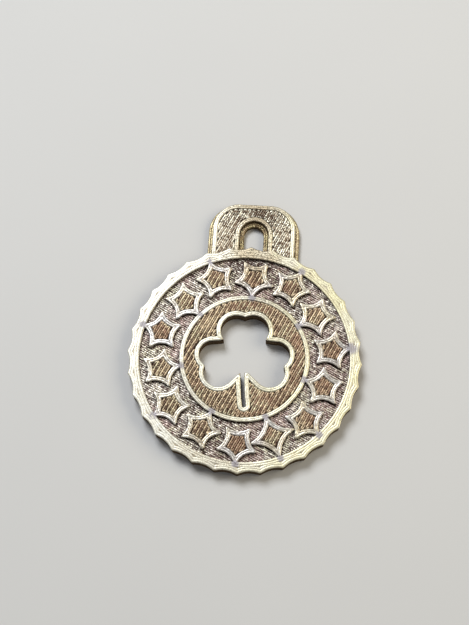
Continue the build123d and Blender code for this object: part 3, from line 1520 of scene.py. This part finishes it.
@dataclass
class HangerTab:
    """The hanger: a wide base, an inset face with a border, and an arched slot through both."""

    centre_x: float = 0.35
    top: float = 35.4
    base_half_width: float = 9.9
    base_corner: float = 6.6
    face_half_width: float = 9.0
    face_corner: float = 5.6
    face_setback: float = 0.1
    slot_base_half_width: float = 2.2
    slot_base_top: float = 30.5
    slot_face_half_width: float = 3.2
    slot_face_top: float = 31.6
    border: float = 0.9
    root: float = 21.3
    slot_rise: float = 1.2
    disc_lap: float = 0.3
    back_lap: float = 1.0
    ledge_insets: tuple[float, ...] = (0.24, 0.7)
    hatch: Hatch = Hatch(64.0, light=0.72, dark=0.4)

    def arch(self, half_width: float, top: float, corner: float, root: float) -> Loop:
        """An outline on the tab's centre line with straight sides and rounded top corners.

        Args:
            half_width: Half its width, in mm.
            top: How far up it reaches.
            corner: The corners' radius.
            root: Where it starts.

        Returns:
            The loop.
        """
        corner = min(corner, half_width)
        inner = half_width - corner
        slant = corner * math.sin(math.radians(45))
        left = (
            complex(-half_width, top - corner),
            complex(-inner - slant, top - corner + slant),
            complex(-inner, top),
        )
        right = (
            complex(inner, top),
            complex(inner + slant, top - corner + slant),
            complex(half_width, top - corner),
        )
        across = [(left[2], right[0])] if inner > 0 else []
        sides = [
            (complex(-half_width, root), left[0]),
            left,
            *across,
            right,
            (right[2], complex(half_width, root)),
            (complex(half_width, root), complex(-half_width, root)),
        ]
        return Outline(tuple(sides)).placed(0, self.centre_x).loop(0.15)

    def base_edge(self) -> Loop:
        """The wide base's loop."""
        return self.arch(self.base_half_width, self.top, self.base_corner, self.root)

    def slot_edge(self) -> Loop:
        """The loop of the slot through the base."""
        half = self.slot_base_half_width
        return self.arch(half, self.slot_base_top, half, self.root + self.slot_rise)

    def _above(self, outline: Loop, insets: Sequence[float]) -> list[Stroke]:
        """Lines that far in from an outline, where they lie clear of the disc."""
        loops = [grown(outline, -d) for d in insets]
        return [s for loop in loops for s in open_strokes(loop, loop.imag > self.root + 0.1, 0.55)]

    def build(self, printer: Printer, disc: Disc) -> None:
        """Builds the tab's pieces.

        Args:
            printer: What lays the lines.
            disc: The disc that the tab grows out of.
        """
        base, gap = self.base_edge(), self.slot_edge()
        face_top = self.top - self.face_setback
        face = self.arch(self.face_half_width, face_top, self.face_corner, self.root)
        face_in = grown(face, -self.border)
        half = self.slot_face_half_width
        slot = self.arch(half, self.slot_face_top, half, self.root + self.slot_rise)
        slot_out = grown(slot, self.border)
        self._build_base(printer, disc, base, gap)
        strokes = self._above(face, BORDER_INSETS)
        TAB_BORDER.build(printer, "hanger_border", ([face], [face_in]), strokes, seed=53)
        strokes = self._above(slot, [-d for d in BORDER_INSETS])
        TAB_BORDER.build(printer, "slot_border", ([slot_out], [slot]), strokes, seed=54)
        holes = [grown(slot_out, CORE_MARGIN), circle(disc.valley_radius - self.disc_lap)]
        strokes = self.hatch.strokes([grown(face_in, -CORE_MARGIN)], holes)
        TAB_CORE.build(printer, "hanger_core", ([face_in], [slot_out]), strokes, seed=55)

    def _build_base(self, printer: Printer, disc: Disc, base: Loop, gap: Loop) -> None:
        """The wide base: its layered body, the lines on its ledges, and its back.

        Args:
            printer: What lays the lines.
            disc: The disc that the tab grows out of.
            base: The base's loop.
            gap: The slot's loop.
        """
        bottom, top = levels_of("hanger_base")
        levels = (bottom + BODY_LIFT, top - PLATE_LAP)
        parts = [printer.slab([base], [gap], levels, WALL_GOLD_PAINTED_SHADE, WALL_GOLD_PAINTED_SHADE)]
        strokes = self._above(base, self.ledge_insets)
        strokes += self._above(gap, [-d for d in self.ledge_insets])
        parts.append(printer.lines(strokes, top, BORDER_BEAD, LEDGE_GOLD, 51))
        back = self._above(base, BACK_INSETS) + self._above(gap, [-d for d in BACK_INSETS])
        holes = [grown(gap, BACK_MARGIN), circle(disc.cusp_radius - self.back_lap)]
        back += disc.back_hatch.strokes([grown(base, -BACK_MARGIN)], holes)
        parts.append(printer.back_lines(back, bottom, 52))
        Piece("hanger_base_body", Slot.BASE, parts, "hanger_base").build()


# Painted light and shade: patches where lines are painted lighter or darker than their finish
PAINTED_SHADING = [
    PaintedShading(24.2j, 8.0, -0.4),
    PaintedShading(-6.0 + 28.5j, 3.0, 0.2),
    PaintedShading(0.8 + 34.0j, 5.5, -0.45),
    PaintedShading(6.2 + 27.0j, 2.4, 0.2),
    PaintedShading(polar(18.5, 81), 3.5, -0.25),
    PaintedShading(polar(18.5, 30), 3.0, -0.2),
    PaintedShading(polar(11.0, 315), 2.6, 0.3),
    PaintedShading(polar(11.0, 15), 5.0, -0.15),
    PaintedShading(polar(11.0, 175), 2.5, 0.2),
    PaintedShading(polar(24.5, 190), 9.0, -0.16),
]


# Studio


@dataclass(frozen=True)
class SoftLight:
    """A square soft light.

    It has its place from the disc's centre and its side in metres, and its power in watts.
    """

    name: str
    offset: tuple[float, float, float]
    size: float
    power: float
    colour: Colour

    def build(self, centre: Vector) -> None:
        """Adds the light, facing the disc's centre.

        Args:
            centre: The disc's centre in metres.
        """
        data = bpy.data.lights.new(self.name, "AREA")
        data.shape = "SQUARE"
        data.size = self.size
        data.energy = self.power
        data.color = self.colour
        light = bpy.data.objects.new(self.name, data)
        light.location = centre + Vector(self.offset)
        light.rotation_mode = "QUATERNION"
        light.rotation_quaternion = (centre - light.location).to_track_quat("-Z", "Y")
        bpy.context.scene.collection.objects.link(light)


# A cool light from the upper left, a warm fill from the right, and one for the back, which reaches
# it where the floor is open
LIGHTS = (
    SoftLight("soft_key", (-0.22, 0.36, 0.60), 0.32, 4.35, (0.93, 0.96, 1.0)),
    SoftLight("warm_fill", (0.45, 0.10, 0.40), 0.40, 1.6, (1.0, 0.90, 0.70)),
    SoftLight("under_light", (0.06, -0.10, -0.50), 0.30, 2.4, (1.0, 0.98, 0.94)),
)


@dataclass
class Studio:
    """Floor, lights and camera.

    The camera's distance and aim are in mm from the disc's centre, and its turns in degrees.
    """

    lights: tuple[SoftLight, ...] = LIGHTS
    room_colour: Colour = (0.90, 0.92, 0.95)
    room_strength: float = 0.18
    floor_colour: Colour = (0.66, 0.655, 0.64)
    floor_size: float = 3.0
    focal: float = 77.76
    distance: float = 288.475
    tilt: float = 17.03
    roll: float = -2.993
    yaw: float = 6.567
    aim_right: float = 2.109
    aim_up: float = -9.881

    def build(self, centre: Vector, top: float, covered: Loop, seen: Sequence[Loop]) -> None:
        """Sets the stage.

        Args:
            centre: The disc's centre in metres.
            top: Height of the disc's base, in mm, where the camera's aim is measured.
            covered: Outline of the floor that the ornament covers.
            seen: Outlines of the parts of it that show through the ornament.
        """
        self._build_floor(centre, covered, seen)
        self._build_lights(centre)
        self._build_camera(Vector((centre.x, centre.y, top * MM)))

    def _build_floor(self, centre: Vector, covered: Loop, seen: Sequence[Loop]) -> None:
        """A plain pale floor, clear from below and open where the ornament hides it.

        Args:
            centre: The disc's centre in metres.
            covered: Outline of the part that the ornament covers.
            seen: Outlines of the parts of it that show through the ornament.
        """
        graph = ShaderGraph("studio_floor")
        blotch = graph.noise(60.0, 2.0)
        darker = tuple(0.96 * c for c in self.floor_colour)
        sockets = {"Base Color": graph.mix(blotch, darker, self.floor_colour), "Roughness": 0.85}
        solid = graph.signal("ShaderNodeBsdfPrincipled", None, sockets)
        clear = graph.signal("ShaderNodeBsdfTransparent")
        below = graph.signal("ShaderNodeNewGeometry", output="Backfacing")
        mixed = graph.signal("ShaderNodeMixShader", None, {0: below, 1: solid, 2: clear})
        graph.node("ShaderNodeOutputMaterial", None, {"Surface": mixed})
        reach = self.floor_size / 2 / MM
        square = np.array([-1 - 1j, 1 - 1j, 1 + 1j, -1 + 1j]) * reach
        cuts, edges = chained([(loop, True) for loop in (square, covered, *seen)])
        points = [Vector((p.real, p.imag)) for p in cuts]
        places, _, triangles = delaunay_2d_cdt(points, edges, [], WHOLE_HULL, MERGE_REACH)[:3]
        corners = [(centre.x + p.x * MM, centre.y + p.y * MM, 0.0) for p in places]
        plane = np.array([complex(p.x, p.y) for p in places])
        middles = plane[np.array(triangles)].mean(axis=1)
        shown = ~inside(middles, covered)
        for loop in seen:
            shown |= inside(middles, loop)
        mesh = bpy.data.meshes.new("studio_floor")
        mesh.from_pydata(corners, [], [t for t, kept in zip(triangles, shown) if kept])
        mesh.materials.append(graph.material)
        floor = bpy.data.objects.new("studio_floor", mesh)
        bpy.context.scene.collection.objects.link(floor)

    def _build_lights(self, centre: Vector) -> None:
        """The soft lights, and a grey room round them.

        Args:
            centre: The disc's centre in metres.
        """
        for light in self.lights:
            light.build(centre)
        world = bpy.data.worlds.new("studio")
        world.use_nodes = True
        graph = Graph(world.node_tree)
        sockets = {"Color": self.room_colour, "Strength": self.room_strength}
        light = graph.signal("ShaderNodeBackground", None, sockets)
        graph.node("ShaderNodeOutputWorld", None, {"Surface": light})
        bpy.context.scene.world = world
        bpy.context.scene.view_settings.view_transform = "Standard"

    def _build_camera(self, target: Vector) -> None:
        """A long-lens camera over the ornament, tilted back a little.

        Args:
            target: What its aim is measured from, in metres.
        """
        yaw, tilt, roll = (math.radians(a) for a in (self.yaw, self.tilt, self.roll))
        turn = Matrix.Rotation(yaw, 3, "Z") @ Matrix.Rotation(tilt, 3, "X")
        turn = turn @ Matrix.Rotation(roll, 3, "Z")
        right, up, back = turn.col[0], turn.col[1], turn.col[2]
        data = bpy.data.cameras.new("studio_camera")
        data.lens = self.focal
        data.sensor_width = 36.0
        data.clip_start = 0.01
        camera = bpy.data.objects.new("studio_camera", data)
        place = target - right * self.aim_right * MM - up * self.aim_up * MM
        camera.location = place + back * self.distance * MM
        camera.rotation_mode = "QUATERNION"
        camera.rotation_quaternion = turn.to_quaternion()
        bpy.context.scene.collection.objects.link(camera)
        bpy.context.scene.camera = camera


def main() -> None:
    """Builds every sub-assembly and the studio in order."""
    logging.basicConfig(level=logging.INFO, format="%(name)s %(message)s", stream=sys.stdout)
    low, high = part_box("edge_rim")
    centre = Vector(((low.x + high.x) / 2, (low.y + high.y) / 2, 0.0))
    printer = Printer(centre)
    shamrock, stars, disc, tab = Shamrock(), StarRing(), Disc(), HangerTab()
    printer.seams = stars.contacts()
    printer.painted_shading = PAINTED_SHADING
    disc.build(printer, shamrock, stars)
    stars.build(printer)
    tab.build(printer, disc)
    covered = joined_loop(grown(disc.outline(), -FLOOR_LAP), grown(tab.base_edge(), -FLOOR_LAP))
    slot = pressed(grown(tab.slot_edge(), FLOOR_LAP), disc.valley_radius - FLOOR_LAP, math.inf)
    seen = [shamrock.edge(FLOOR_LAP), slot]
    Studio().build(centre, levels_of("base_disc")[1], covered, seen)


if __name__ == "__main__":
    main()
